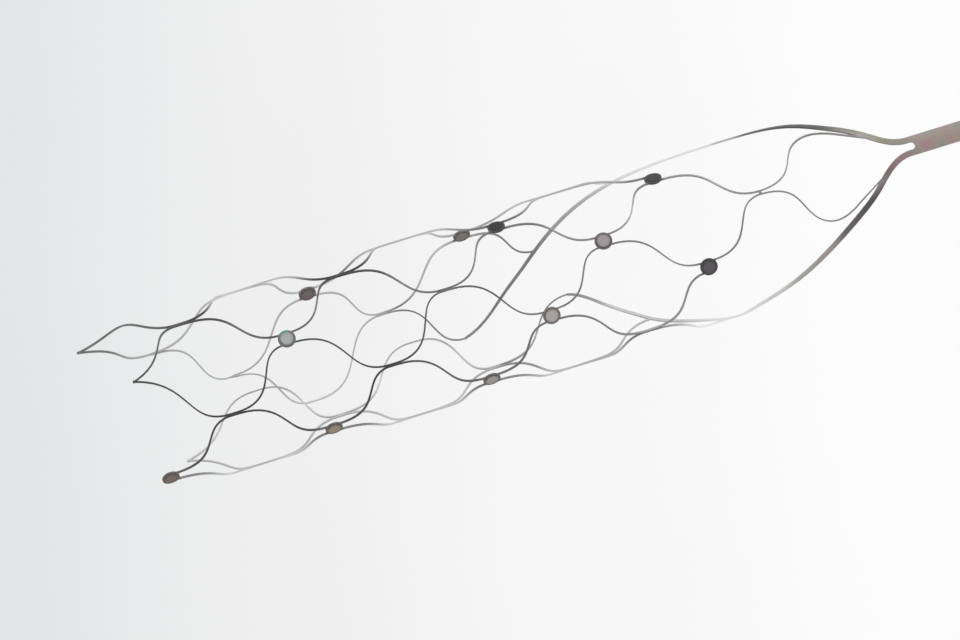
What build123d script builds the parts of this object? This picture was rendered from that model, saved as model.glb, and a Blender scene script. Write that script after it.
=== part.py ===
import os
from math import ceil, cos, pi, radians, sin

from build123d import *

# A clot retrieval stent: a thin tube cut into a lattice of curved struts, slit along its
# whole length, with two arms that leave the lattice and meet in a flat shank.
# X runs along the tube from the tips at 0 to the shank, Z is up and the tube's axis is X.

# Tube, in millimetres and degrees
tube_diameter = 6.0
wall = 0.065
shank_roll = 17.0

# Lattice on the unrolled sheet, x along the tube and y around it
pitch = 5.68
row_advance = 2.45
cells_around = 5
edge_interlock = 0.75
strut_width = 0.052
crotch_gap = 0.012
node_length = 0.26
tip_diameter = 0.09
tip_splay = 0.3
tip_end_x = 0.27
seam_lean = 0.1
seam_lean_start = 10.1

# Eyelets and the marker discs set in them
eyelet_diameter = 0.61
marker_diameter = 0.45
marker_clearance = 0.002
marker_stand = 0.012
eyelet_join_angle = 46.0

# Arms, fork and shank
shank_width = 0.70
slot_width = 0.28
crown_length = 5.63
shank_length = 3.2
fork_lap = 0.02
arm_width_at_crest = 0.085
strand_width = 0.045
crown_gap = 0.07
bridge_length = 0.09
strand_join = 1.0

# Bows of the struts: how far each end runs on before it turns, as shares of the strut's run
short_bows = (0.76, 0.55)
long_bows = (0.65, 0.54)

# Way of each arm from the fork to its first crest, as shares of that way along and around
way_above = [(0.171, 0.213), (0.290, 0.394), (0.410, 0.597), (0.539, 0.735), (0.768, 0.842)]
way_below = [(0.226, 0.187), (0.384, 0.338), (0.562, 0.499), (0.753, 0.668), (0.911, 0.819)]

# Way of each arm from its last crest but one to its last, as shares of that way
way_to_last_crest = [(0.25, 0.30), (0.50, 0.565), (0.74, 0.835), (0.90, 0.965)]

# Way of each thin strand from the last node, as shares of the crown's length, with degrees
# around the tube from the shank's middle line
strand_way = [(0.192, 9), (0.281, 26), (0.414, 33), (0.600, 24)]

# Longest step between the points that carry a flat line onto the tube, and the size of the
# cylindrical seed that each rolled face grows from
rolling_step = 0.16
seed_size = 0.05

row_step = (pi * tube_diameter + edge_interlock) / (2 * cells_around)
tube_radius = tube_diameter / 2
bore_radius = tube_radius - wall
node_half = node_length / 2
node_half_width = strut_width + crotch_gap / 2
strut_offset = (strut_width + crotch_gap) / 2
eyelet_radius = eyelet_diameter / 2
ring_middle = (eyelet_diameter + marker_diameter) / 4
slot_radius = slot_width / 2
arm_width_at_fork = (shank_width - slot_width) / 2
arm_offset_at_fork = (shank_width + slot_width) / 4

# Nodes as (column, row): columns run along the tube and rows run around it
markers = [(0, 1), (1, 1), (2, 1), (2, 2), (3, 2), (0, 3), (2, 3), (1, 4), (2, 4), (-1, 6), (0, 6)]
arm_nodes_above = [(1, 6), (0, 7), (-1, 8)]
arm_nodes_below = [(4, 0), (4, -1), (4, -2)]
tip_shifts = {(-2, 5): (-0.10, 1.04), (-1, 3): (0.29, 0.14), (1, -1): (0.13, -0.08), (0, 1): (-0.15, 0.07)}
row_columns = {
    -2: range(2, 5), -1: range(1, 5), 0: range(1, 5), 1: range(0, 4), 2: range(0, 4), 3: range(-1, 4),
    4: range(-1, 3), 5: range(-2, 2), 6: range(-2, 2), 7: range(-2, 1), 8: range(-2, 0),
}
crown_node = (3, 3)
tips = [node for node in tip_shifts if node not in markers]
shank_y = crown_node[1] * row_step
nodes = [(column, row) for row, columns in row_columns.items() for column in columns]
arm_nodes = arm_nodes_above + arm_nodes_below

struts = []
for column, row in nodes:
    for end, bows in (((column, row + 1), short_bows), ((column + 1, row - 1), long_bows)):
        if end in nodes and (column, row) not in arm_nodes:
            struts.append(((column, row), end, bows))
strut_starts = [start for start, end, bows in struts]
strut_ends = [end for start, end, bows in struts]


def node_place(column, row):
    """Flat place of a node. Past row 4 the sheet leans, so that its slit widens to the arms."""
    x = tip_end_x + pitch * (column + 2) + row_advance * (row - 5)
    lean = seam_lean * (x - seam_lean_start) * min(max((row - 4) / 2, 0), 1)
    return Vector(x, row * row_step - lean) + Vector(*tip_shifts.get((column, row), (0, 0)))


slot_end_x = node_place(*crown_node).X + crown_length


def ribbon(line, start_width, end_width, stations=10):
    """Flat strip along a line, with a width that changes evenly from start to end."""
    left = []
    right = []
    for i in range(stations + 1):
        t = i / stations
        half = (start_width + (end_width - start_width) * t) / 2
        along = line % t
        across = Vector(-along.Y, along.X) * half
        left.append(line @ t + across)
        right.append(line @ t - across)
    with BuildSketch() as strip:
        with BuildLine():
            Spline(left)
            Line(left[-1], right[-1])
            Spline(right[::-1])
            Line(right[0], left[0])
        make_face()
    return strip.sketch


def strut(start, end, bows):
    """S-shaped strut from the right end of one node to the left end of another."""
    rise = 1 if end[1] > start[1] else -1
    places = []
    for node, side, mates in ((start, 1, strut_starts), (end, -1, strut_ends)):
        reach = node_half
        offset = strut_offset if mates.count(node) > 1 else 0
        if node == crown_node:
            reach = 0
            offset = (crown_gap + strut_width) / 2
        if node in markers:
            reach = ring_middle * cos(radians(eyelet_join_angle))
            offset = ring_middle * sin(radians(eyelet_join_angle))
        if node in arm_nodes or node in tips:
            reach = 0
            offset = 0
        places.append(node_place(*node) + Vector(side * reach, side * rise * offset))
    first, last = places
    run = last.X - first.X
    splay = rise * tip_splay if start in tips else 0
    start_pull = Vector(1, splay) * (bows[0] * run)
    with BuildLine() as centre:
        Bezier(first, first + start_pull, last - Vector(bows[1] * run, 0), last)
    return ribbon(centre.line, strut_width, strut_width)


def junction(node):
    """Merged strip of a plain node, or the ring of a node with a marker."""
    place = node_place(*node)
    left = strut_width / 2 if strut_ends.count(node) == 1 else node_half_width
    right = strut_width / 2 if strut_starts.count(node) == 1 else node_half_width
    with BuildSketch() as patch:
        with Locations((place.X, place.Y)):
            if node in markers:
                Circle(eyelet_radius)
            elif node in tips:
                Circle(tip_diameter / 2)
            elif node == crown_node:
                Rectangle(bridge_length, crown_gap + strut_width)
            else:
                Polygon(
                    (-node_half, -left), (node_half, -right), (node_half, right), (-node_half, left),
                    align=None,
                )
    return patch.sketch


def arm_line(side, way, crests):
    """Middle line of an arm, from the fork to its first crest and on over the others."""
    start = Vector(slot_end_x - slot_radius + fork_lap, shank_y + side * arm_offset_at_fork)
    first = node_place(*crests[0])
    points = [start]
    for along, around in way:
        points.append(Vector(
            slot_end_x + along * (first.X - slot_end_x), shank_y + around * (first.Y - shank_y)
        ))
    points += [node_place(*crest) for crest in crests[:-1]]
    turn, last = points[-1], node_place(*crests[-1])
    for along, around in way_to_last_crest:
        points.append(Vector(turn.X + along * (last.X - turn.X), turn.Y + around * (last.Y - turn.Y)))
    points.append(last)
    with BuildLine() as centre:
        Spline(points, tangents=[(-1, 0), (-1, 0)])
    return centre.edge()


def strand_line(side, arm):
    """Middle line of the thin strand that ties the last node to an arm, ending inside the arm."""
    last_node = node_place(*crown_node)
    points = [last_node + Vector(0, side * (crown_gap + strut_width) / 2)]
    for along, turn in strand_way:
        points.append(Vector(
            last_node.X + along * crown_length, shank_y + side * radians(turn) * tube_radius
        ))
    points.append(arm.position_at(strand_join, position_mode=PositionMode.LENGTH))
    with BuildLine() as centre:
        Spline(points, tangents=[(1, 0), (1.6, -side)])
    return centre.edge()


arm_above = arm_line(1, way_above, arm_nodes_above)
arm_below = arm_line(-1, way_below, arm_nodes_below)
pieces = [junction(node) for node in nodes if node not in arm_nodes]
pieces += [strut(start, end, bows) for start, end, bows in struts]
pieces += [ribbon(arm, arm_width_at_fork, arm_width_at_crest, stations=24) for arm in (arm_above, arm_below)]
for side, arm in ((1, arm_above), (-1, arm_below)):
    pieces.append(ribbon(strand_line(side, arm), strand_width, strand_width, stations=16))

with BuildSketch() as pattern:
    add(pieces)
    with Locations((slot_end_x - slot_radius + shank_length / 2, shank_y)):
        Rectangle(shank_length, shank_width)
    with Locations((slot_end_x - slot_radius, shank_y)):
        Circle(slot_radius, mode=Mode.SUBTRACT)
    with Locations([node_place(*node) for node in markers]):
        Circle(marker_diameter / 2 + marker_clearance, mode=Mode.SUBTRACT)


def wrapped(point, radius):
    """Place on the rolled tube of a point of the flat sheet."""
    angle = (shank_y - point.Y) / tube_radius - radians(shank_roll)
    return Vector(point.X, -radius * sin(angle), radius * cos(angle))


def rolled_edge(edge, radius):
    """Edge of the flat sheet, rolled onto a cylinder."""
    steps = max(ceil(edge.length / rolling_step), 3)
    return Edge.make_spline([wrapped(edge @ (i / steps), radius) for i in range(steps + 1)])


def rolled_skin(flat, radius):
    """Cylindrical face with the outline and windows of a flat face, grown from a small seed."""
    wires = [flat.outer_wire()] + list(flat.inner_wires())
    outline, *windows = [Wire([rolled_edge(edge, radius) for edge in wire.edges()]) for wire in wires]
    middle = flat.without_holes().center()
    seed_arc = Edge.make_three_point_arc(
        *[wrapped(middle + Vector(0, offset), radius) for offset in (-seed_size, 0, seed_size)]
    )
    seed = Face.extrude(seed_arc, Vector(seed_size, 0, 0))
    skin = seed.make_holes([outline]).without_holes()
    return skin.make_holes(windows) if windows else skin


def rolled_solid(flats, outer_radius, inner_radius):
    """Solid between two radii over one or more flat faces that meet along the shank's line."""
    faces = []
    for flat in flats:
        faces.append(rolled_skin(flat, outer_radius))
        faces.append(rolled_skin(flat, inner_radius))
        for edge in flat.edges():
            ends = [edge @ 0, edge @ 0.5, edge @ 1]
            if len(flats) > 1 and all(abs(end.Y - shank_y) < 1e-6 for end in ends):
                continue
            outer = rolled_edge(edge, outer_radius)
            inner = rolled_edge(edge, inner_radius)
            faces.append(Face.make_surface_from_curves(outer, inner))
    return Solid(Shell(faces))


halves = []
for side in (1, -1):
    with BuildSketch() as half:
        add(pattern.sketch)
        split(bisect_by=Plane.XZ.offset(-shank_y), keep=Keep.BOTTOM if side > 0 else Keep.TOP)
    halves.append(half.face())

with BuildPart() as lattice_frame:
    add(rolled_solid(halves, tube_radius, bore_radius))

os.makedirs("parts", exist_ok=True)
lattice_frame.part.label = "lattice_frame"
export_step(lattice_frame.part, "parts/lattice_frame.step")

for number, place in enumerate(sorted(markers), start=1):
    spot = node_place(*place)
    with BuildSketch() as disc:
        with Locations((spot.X, spot.Y)):
            Circle(marker_diameter / 2)
    with BuildPart() as marker_disc:
        add(rolled_solid([disc.face()], tube_radius + marker_stand, bore_radius - marker_stand))
    name = f"marker_disc_{number:02d}"
    marker_disc.part.label = name
    export_step(marker_disc.part, f"parts/{name}.step")
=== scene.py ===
from math import cos, radians, sin

import bpy
from mathutils import Matrix, Vector


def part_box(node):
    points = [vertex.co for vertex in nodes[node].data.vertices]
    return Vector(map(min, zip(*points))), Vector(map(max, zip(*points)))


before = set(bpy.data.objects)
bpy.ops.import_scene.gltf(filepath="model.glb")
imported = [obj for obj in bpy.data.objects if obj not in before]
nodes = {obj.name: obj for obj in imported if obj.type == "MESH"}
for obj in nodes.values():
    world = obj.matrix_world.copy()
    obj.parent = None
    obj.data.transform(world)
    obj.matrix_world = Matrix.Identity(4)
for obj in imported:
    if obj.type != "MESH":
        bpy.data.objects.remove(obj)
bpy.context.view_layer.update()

# Metres, in the part's own frame: X along the tube from its open end, Y across it, Z up
mm = 0.001
tube_middle = (16 * mm, 0, 0)

# Camera above the tube, set as the photograph was taken
camera_place = (-19.6 * mm, -0.46 * mm, 246.0 * mm)
camera_forward = Vector((0.1338, 0.0, -0.9910)).normalized()
camera_right = Vector((0.9466, -0.2959, 0.1278)).normalized()
camera_lens = 270.6

# Floor far below the part, so that its shadow spreads out as softly as the photograph's
floor_size = 1.6
floor_z = -60 * mm
floor_shade_span = (-16 * mm, 24 * mm)
paper_tones = [(0.3, (0.755, 0.757, 0.76)), (0.7, (0.765, 0.767, 0.77))]
paper_glow = [
    (0.0, (0.115, 0.130, 0.135)), (0.33, (0.215, 0.215, 0.217)),
    (0.66, (0.28, 0.28, 0.28)), (1.0, (0.32, 0.32, 0.32)),
]

# Studio dome, bright at the horizon and dimmer overhead, and one soft lamp to the side
dome_tones = [(0.0, (1.0, 1.0, 1.0)), (1.0, (0.60, 0.60, 0.602))]
dome_span = (0.25, 0.85)
lamp_place = (0.10, 0.45, 0.22)
lamp_size = 0.25
lamp_power = 0.75

# Greys of the metal, each from its darkest to its lightest patch; the underside and flank greys are paler
# with painted light
outside_at_tips = ((0.053, 0.0517, 0.052), (0.108, 0.106, 0.1067))
outside_at_arms = ((0.23, 0.227, 0.227), (0.34, 0.336, 0.336))
# Underside greys: painted light, paler where the bright backdrop washes over the rear struts, less so at the
# middle
underside_painted_light = ((0.44, 0.44, 0.446), (0.57, 0.57, 0.577))
underside_middle_painted_light = ((0.18, 0.18, 0.183), (0.30, 0.30, 0.305))
# Flank greys: painted light, paler where the bright surroundings light the tube's sides, nearly white on the
# arms
flank_painted_light_greys = ((0.52, 0.52, 0.525), (0.72, 0.72, 0.725))
flank_arm_painted_light_grey = (0.90, 0.90, 0.90)
foremost_tip_grey = (0.15, 0.15, 0.15)

# Stretches over which one colour gives way to the next, the painted light of the underside and flanks among
# them: first those that run along the tube
outside_lightens = (9.0 * mm, 20.0 * mm)
middle_ends = (16.6 * mm, 18.8 * mm)
# Where the flanks' painted light turns nearly white on the arms
painted_light_flank_arms_start = (18.6 * mm, 20.0 * mm)
foremost_tip_ends = (2.6 * mm, 4.2 * mm)
tint_starts = (22.4 * mm, 23.2 * mm)
tint_span = (22.0 * mm, 30.0 * mm)
strands_end = (27.9 * mm, 28.3 * mm)
shank_starts = (29.1 * mm, 29.7 * mm)

# The underside's darker middle, with less painted light, starts on a slant, where X and Y add up to this,
# and leaves out a patch that keeps the full painted light
middle_starts = (11.6 * mm, 12.1 * mm)
pale_painted_light_patch = Vector((12.2, 2.1, -2.0)) * mm
pale_painted_light_patch_reach = (1.0 * mm, 1.7 * mm)

# Those that run down from the axis, out from the middle plane, and out from the shank's middle line
# Where the underside's painted light begins
painted_light_underside_starts = (-0.6 * mm, 1.5 * mm)
# Where the flanks' painted light begins
painted_light_flank_starts = (2.55 * mm, 2.95 * mm)
foremost_tip_side = (1.6 * mm, 2.3 * mm)
shank_roll = radians(17)
arm_split = (-0.05 * mm, 0.05 * mm)
arms_start = (1.85 * mm, 2.0 * mm)
arms_close_in = 0.53
arms_start_leaning = (15.70 * mm, 15.82 * mm)

# Patterns, in swirls to the metre
patch_scale = 420.0
wander_scale = 900.0
blotch_scale = 2000.0
cloud_scale = 6000.0
grain_scale = 9000.0
fibre_scale = 60.0

# How far the tints wander, how dull the metal gets, and how its grain shows
tint_wander = 0.10
least_dull = 0.45
dullness = 0.8
grain_roughness = (-0.9, 2.1)
grain_strength = 0.12
grain_depth = 0.003 * mm

# Marker discs and the rings round them, from a disc's middle outwards
disc_face = (0.12 * mm, 0.25 * mm)
disc_rim_shade = 0.86
face_share = 0.65
ring_reach = (0.30 * mm, 0.40 * mm)
glint_from_middle = Vector((-0.02, 0.30, 0)) * mm
glint_reach = (0.08 * mm, 0.22 * mm)


def screen(red, green, blue):
    """Linear colour of a screen colour given in steps of 255."""
    return tuple(min((value / 255) ** 2.2, 0.97) for value in (red, green, blue))


strand_tone = screen(138, 135, 134)
glint_tone = screen(60, 150, 130)
upper_arm_tints = [
    (0.10, screen(238, 238, 238)), (0.19, screen(190, 190, 190)), (0.31, screen(116, 116, 116)),
    (0.45, screen(84, 84, 84)), (0.57, screen(88, 88, 87)), (0.65, screen(128, 126, 118)),
    (0.76, screen(128, 127, 106)), (0.90, screen(140, 134, 124)),
]
lower_arm_tints = [
    (0.04, screen(242, 242, 242)), (0.20, screen(212, 212, 211)), (0.31, screen(170, 170, 160)),
    (0.44, screen(164, 154, 150)), (0.56, screen(108, 101, 102)), (0.66, screen(90, 85, 86)),
    (0.76, screen(126, 106, 109)), (0.84, screen(152, 124, 128)), (0.95, screen(144, 137, 131)),
]
shank_tints = [
    (0.34, screen(130, 142, 132)), (0.44, screen(148, 143, 135)),
    (0.54, screen(156, 140, 132)), (0.66, screen(158, 130, 134)),
]

# Screen colours of each marker disc and of the ring that holds it
brown_ring = (96, 89, 88)
rear_ring = (100, 92, 90)
marker_tones = {
    "marker_disc_01": ((110, 98, 97), rear_ring),
    "marker_disc_02": ((117, 102, 90), brown_ring),
    "marker_disc_03": ((168, 171, 171), (108, 108, 110)),
    "marker_disc_04": ((120, 113, 107), rear_ring),
    "marker_disc_05": ((150, 135, 113), brown_ring),
    "marker_disc_06": ((32, 32, 34), (60, 60, 62)),
    "marker_disc_07": ((158, 151, 143), brown_ring),
    "marker_disc_08": ((188, 181, 178), (118, 115, 113)),
    "marker_disc_09": ((160, 152, 155), brown_ring),
    "marker_disc_10": ((54, 52, 55), (68, 66, 68)),
    "marker_disc_11": ((95, 92, 96), (74, 71, 74)),
}
glint_marker = "marker_disc_03"


def new_material(name):
    material = bpy.data.materials.new(name)
    material.use_nodes = True
    tree = material.node_tree
    tree.nodes.clear()
    output = tree.nodes.new("ShaderNodeOutputMaterial")
    shader = tree.nodes.new("ShaderNodeBsdfPrincipled")
    tree.links.new(shader.outputs["BSDF"], output.inputs["Surface"])
    return material, tree, shader


def feed(tree, socket, value):
    """Links a socket to another's output, or sets it to a number or colour."""
    if isinstance(value, bpy.types.NodeSocket):
        tree.links.new(value, socket)
    elif isinstance(value, tuple):
        socket.default_value = (*value, 1)
    else:
        socket.default_value = value


def object_coordinates(tree):
    return tree.nodes.new("ShaderNodeTexCoord").outputs["Object"]


def separate(tree, vector):
    node = tree.nodes.new("ShaderNodeSeparateXYZ")
    feed(tree, node.inputs["Vector"], vector)
    return [node.outputs[axis] for axis in "XYZ"]


def ramp(tree, factor, stops):
    """Colour ramp node fed by a factor, with (position, colour) stops."""
    node = tree.nodes.new("ShaderNodeValToRGB")
    node.color_ramp.interpolation = "EASE"
    while len(node.color_ramp.elements) < len(stops):
        node.color_ramp.elements.new(0.5)
    for element, (position, colour) in zip(node.color_ramp.elements, stops):
        element.position = position
        element.color = (*colour, 1)
    feed(tree, node.inputs["Fac"], factor)
    return node.outputs["Color"]


def mottled(tree, patches, greys):
    """Grey that drifts from its darkest to its lightest level in patches."""
    darkest, lightest = greys
    return ramp(tree, patches, [(0.3, darkest), (0.7, lightest)])


def math_node(tree, operation, first, second=0.0):
    node = tree.nodes.new("ShaderNodeMath")
    node.operation = operation
    feed(tree, node.inputs[0], first)
    feed(tree, node.inputs[1], second)
    return node.outputs["Value"]


def largest(tree, first, *others):
    for other in others:
        first = math_node(tree, "MAXIMUM", first, other)
    return first


def noise(tree, vector, scale, detail=3.0):
    node = tree.nodes.new("ShaderNodeTexNoise")
    node.inputs["Scale"].default_value = scale
    node.inputs["Detail"].default_value = detail
    feed(tree, node.inputs["Vector"], vector)
    return node.outputs["Fac"]


def mix(tree, factor, first, second):
    """Mixes two colours; the sockets are the mix node's factor, colours and colour result."""
    node = tree.nodes.new("ShaderNodeMix")
    node.data_type = "RGBA"
    for index, value in ((0, factor), (6, first), (7, second)):
        feed(tree, node.inputs[index], value)
    return node.outputs[2]


def rise(tree, value, span):
    """0 before the span, 1 past it and an even slope between."""
    node = tree.nodes.new("ShaderNodeMapRange")
    node.clamp = True
    node.inputs["From Min"].default_value, node.inputs["From Max"].default_value = span
    feed(tree, node.inputs["Value"], value)
    return node.outputs["Result"]


def reading(tree, operation, vector, constant):
    """A number read from a vector and a constant one, such as their distance."""
    node = tree.nodes.new("ShaderNodeVectorMath")
    node.operation = operation
    feed(tree, node.inputs[0], vector)
    node.inputs[1].default_value = constant
    return node.outputs["Value"]


def near(tree, coords, place, reach):
    """1 within the inner reach of a place, 0 past the outer one."""
    away = reading(tree, "DISTANCE", coords, place)
    return math_node(tree, "SUBTRACT", 1, rise(tree, away, reach))


marker_places = {}
for marker in marker_tones:
    lowest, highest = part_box(marker)
    marker_places[marker] = (Vector(lowest) + Vector(highest)) / 2


def lattice_colour(tree, coords, painted_light_low, painted_light_flank):
    """Dark outside; paler low on the tube and on its flanks, where light is painted into the colour."""
    along, across = separate(tree, coords)[:2]
    patches = noise(tree, coords, patch_scale)
    outside = mix(
        tree, rise(tree, along, outside_lightens),
        mottled(tree, patches, outside_at_tips), mottled(tree, patches, outside_at_arms),
    )
    slant = math_node(tree, "ADD", along, across)
    middle = math_node(tree, "SUBTRACT", rise(tree, slant, middle_starts), rise(tree, along, middle_ends))
    middle = math_node(tree, "SUBTRACT", middle, near(tree, coords, pale_painted_light_patch, pale_painted_light_patch_reach))
    painted_light_below = mix(tree, middle, mottled(tree, patches, underside_painted_light), mottled(tree, patches, underside_middle_painted_light))
    # Painted light: paler greys low on the tube
    colour = mix(tree, painted_light_low, outside, painted_light_below)
    # Painted light on the flanks, nearly white where they reach the arms
    colour = mix(tree, painted_light_flank, colour, mottled(tree, patches, flank_painted_light_greys))
    painted_light_flank_arm = math_node(tree, "MULTIPLY", painted_light_flank, rise(tree, along, painted_light_flank_arms_start))
    colour = mix(tree, painted_light_flank_arm, colour, flank_arm_painted_light_grey)
    foremost_tip = math_node(
        tree, "SUBTRACT", rise(tree, across, foremost_tip_side), rise(tree, along, foremost_tip_ends)
    )
    return mix(tree, largest(tree, foremost_tip, 0), colour, foremost_tip_grey)


def tinted_colour(tree, coords):
    """Heat tints in bands along the two arms, plain strands, and a blotched shank."""
    along = separate(tree, coords)[0]
    wander = math_node(tree, "SUBTRACT", noise(tree, coords, wander_scale), 0.5)
    wander = math_node(tree, "MULTIPLY", wander, tint_wander)
    place = math_node(tree, "ADD", rise(tree, along, tint_span), wander)
    aside = reading(tree, "DOT_PRODUCT", coords, (0, cos(shank_roll), -sin(shank_roll)))
    lower_arm = ramp(tree, place, lower_arm_tints)
    upper_arm = ramp(tree, place, upper_arm_tints)
    colour = mix(tree, rise(tree, aside, arm_split), lower_arm, upper_arm)
    # The arms stand further from the shank's middle line than the strands, and both close in on it
    distance = math_node(tree, "ABSOLUTE", aside)
    leaning = math_node(tree, "ADD", distance, math_node(tree, "MULTIPLY", along, arms_close_in))
    arms = largest(
        tree, rise(tree, leaning, arms_start_leaning), rise(tree, distance, arms_start),
        rise(tree, along, strands_end),
    )
    colour = mix(tree, arms, strand_tone, colour)
    blotches = ramp(tree, noise(tree, coords, blotch_scale), shank_tints)
    return mix(tree, rise(tree, along, shank_starts), colour, blotches)


def frame_metal():
    """Nickel titanium with a fine grain, more metallic where it is dark than where it is pale."""
    material, tree, shader = new_material("frame_metal")
    coords = object_coordinates(tree)
    along, across, height = separate(tree, coords)
    # Painted light: the underside's paler greys
    painted_light_low = rise(tree, math_node(tree, "MULTIPLY", height, -1), painted_light_underside_starts)
    # Painted light on the flanks
    painted_light_flank = rise(tree, math_node(tree, "ABSOLUTE", across), painted_light_flank_starts)
    tinted = rise(tree, along, tint_starts)
    colour = mix(tree, tinted, lattice_colour(tree, coords, painted_light_low, painted_light_flank), tinted_colour(tree, coords))
    dull = largest(tree, painted_light_low, painted_light_flank, tinted, least_dull)
    for name, place in marker_places.items():
        ring = near(tree, coords, place, ring_reach)
        colour = mix(tree, ring, colour, screen(*marker_tones[name][1]))
        dull = largest(tree, dull, ring)
    glint = near(tree, coords, marker_places[glint_marker] + glint_from_middle, glint_reach)
    feed(tree, shader.inputs["Base Color"], mix(tree, glint, colour, glint_tone))
    metallic = math_node(tree, "SUBTRACT", 1, math_node(tree, "MULTIPLY", dull, dullness))
    feed(tree, shader.inputs["Metallic"], metallic)

    grain = noise(tree, coords, grain_scale, detail=2.0)
    feed(tree, shader.inputs["Roughness"], rise(tree, grain, grain_roughness))
    bump = tree.nodes.new("ShaderNodeBump")
    bump.inputs["Strength"].default_value = grain_strength
    bump.inputs["Distance"].default_value = grain_depth
    feed(tree, bump.inputs["Height"], grain)
    feed(tree, shader.inputs["Normal"], bump.outputs["Normal"])
    return material


def marker_metal(marker, place):
    """Satin marker disc that darkens towards its rim."""
    material, tree, shader = new_material(marker + "_metal")
    tone = marker_tones[marker][0]
    coords = object_coordinates(tree)
    cloud = math_node(tree, "MULTIPLY", noise(tree, coords, cloud_scale), 1 - face_share)
    face = math_node(tree, "MULTIPLY", near(tree, coords, place, disc_face), face_share)
    level = math_node(tree, "ADD", face, cloud)
    rim = screen(*(value * disc_rim_shade for value in tone))
    feed(tree, shader.inputs["Base Color"], ramp(tree, level, [(0.1, rim), (0.8, screen(*tone))]))
    shader.inputs["Metallic"].default_value = 0.25
    shader.inputs["Roughness"].default_value = 0.45
    return material


def paper():
    """Pale paper, cooler and darker to the picture's left, lifted towards white where it is seen."""
    material, tree, shader = new_material("paper")
    coords = object_coordinates(tree)
    feed(tree, shader.inputs["Base Color"], ramp(tree, noise(tree, coords, fibre_scale), paper_tones))
    shader.inputs["Roughness"].default_value = 0.9
    shader.inputs["Specular IOR Level"].default_value = 0.0

    picture_right = Vector((camera_right.x, camera_right.y, 0)).normalized()
    shade = rise(tree, reading(tree, "DOT_PRODUCT", coords, picture_right), floor_shade_span)
    glow = tree.nodes.new("ShaderNodeEmission")
    feed(tree, glow.inputs["Color"], ramp(tree, shade, paper_glow))
    rays = tree.nodes.new("ShaderNodeLightPath").outputs
    seen = largest(tree, rays["Is Camera Ray"], rays["Is Glossy Ray"], rays["Is Transmission Ray"])
    feed(tree, glow.inputs["Strength"], seen)

    both = tree.nodes.new("ShaderNodeAddShader")
    feed(tree, both.inputs[0], shader.outputs["BSDF"])
    feed(tree, both.inputs[1], glow.outputs["Emission"])
    output = next(node for node in tree.nodes if node.type == "OUTPUT_MATERIAL")
    feed(tree, output.inputs["Surface"], both.outputs["Shader"])
    return material


def set_material(node, material):
    node.data.materials.clear()
    node.data.materials.append(material)


def make_floor():
    bpy.ops.mesh.primitive_plane_add(size=floor_size, location=(tube_middle[0], 0, floor_z))
    floor = bpy.context.object
    floor.name = "floor"
    set_material(floor, paper())


def make_lamp():
    data = bpy.data.lights.new("side", "AREA")
    data.shape = "DISK"
    data.size = lamp_size
    data.energy = lamp_power
    lamp = bpy.data.objects.new("side", data)
    bpy.context.scene.collection.objects.link(lamp)
    lamp.location = lamp_place
    towards = Vector(tube_middle) - Vector(lamp_place)
    lamp.rotation_euler = towards.to_track_quat("-Z", "Y").to_euler()


def make_dome():
    world = bpy.data.worlds.new("studio")
    bpy.context.scene.world = world
    world.use_nodes = True
    tree = world.node_tree
    direction = tree.nodes.new("ShaderNodeTexCoord").outputs["Generated"]
    upwards = separate(tree, direction)[2]
    background = tree.nodes["Background"]
    feed(tree, background.inputs["Color"], ramp(tree, rise(tree, upwards, dome_span), dome_tones))
    background.inputs["Strength"].default_value = 1.0


def make_camera():
    data = bpy.data.cameras.new("camera")
    data.lens = camera_lens
    data.sensor_width = 36.0
    data.clip_start = 10 * mm
    data.clip_end = 10.0
    camera = bpy.data.objects.new("camera", data)
    bpy.context.scene.collection.objects.link(camera)
    camera_up = camera_right.cross(camera_forward)
    turn = Matrix((camera_right, camera_up, -camera_forward)).transposed().to_4x4()
    camera.matrix_world = Matrix.Translation(camera_place) @ turn
    bpy.context.scene.camera = camera
    bpy.context.scene.view_settings.view_transform = "Standard"


make_camera()
set_material(nodes["lattice_frame"], frame_metal())
for marker, place in marker_places.items():
    set_material(nodes[marker], marker_metal(marker, place))
make_floor()
make_lamp()
make_dome()
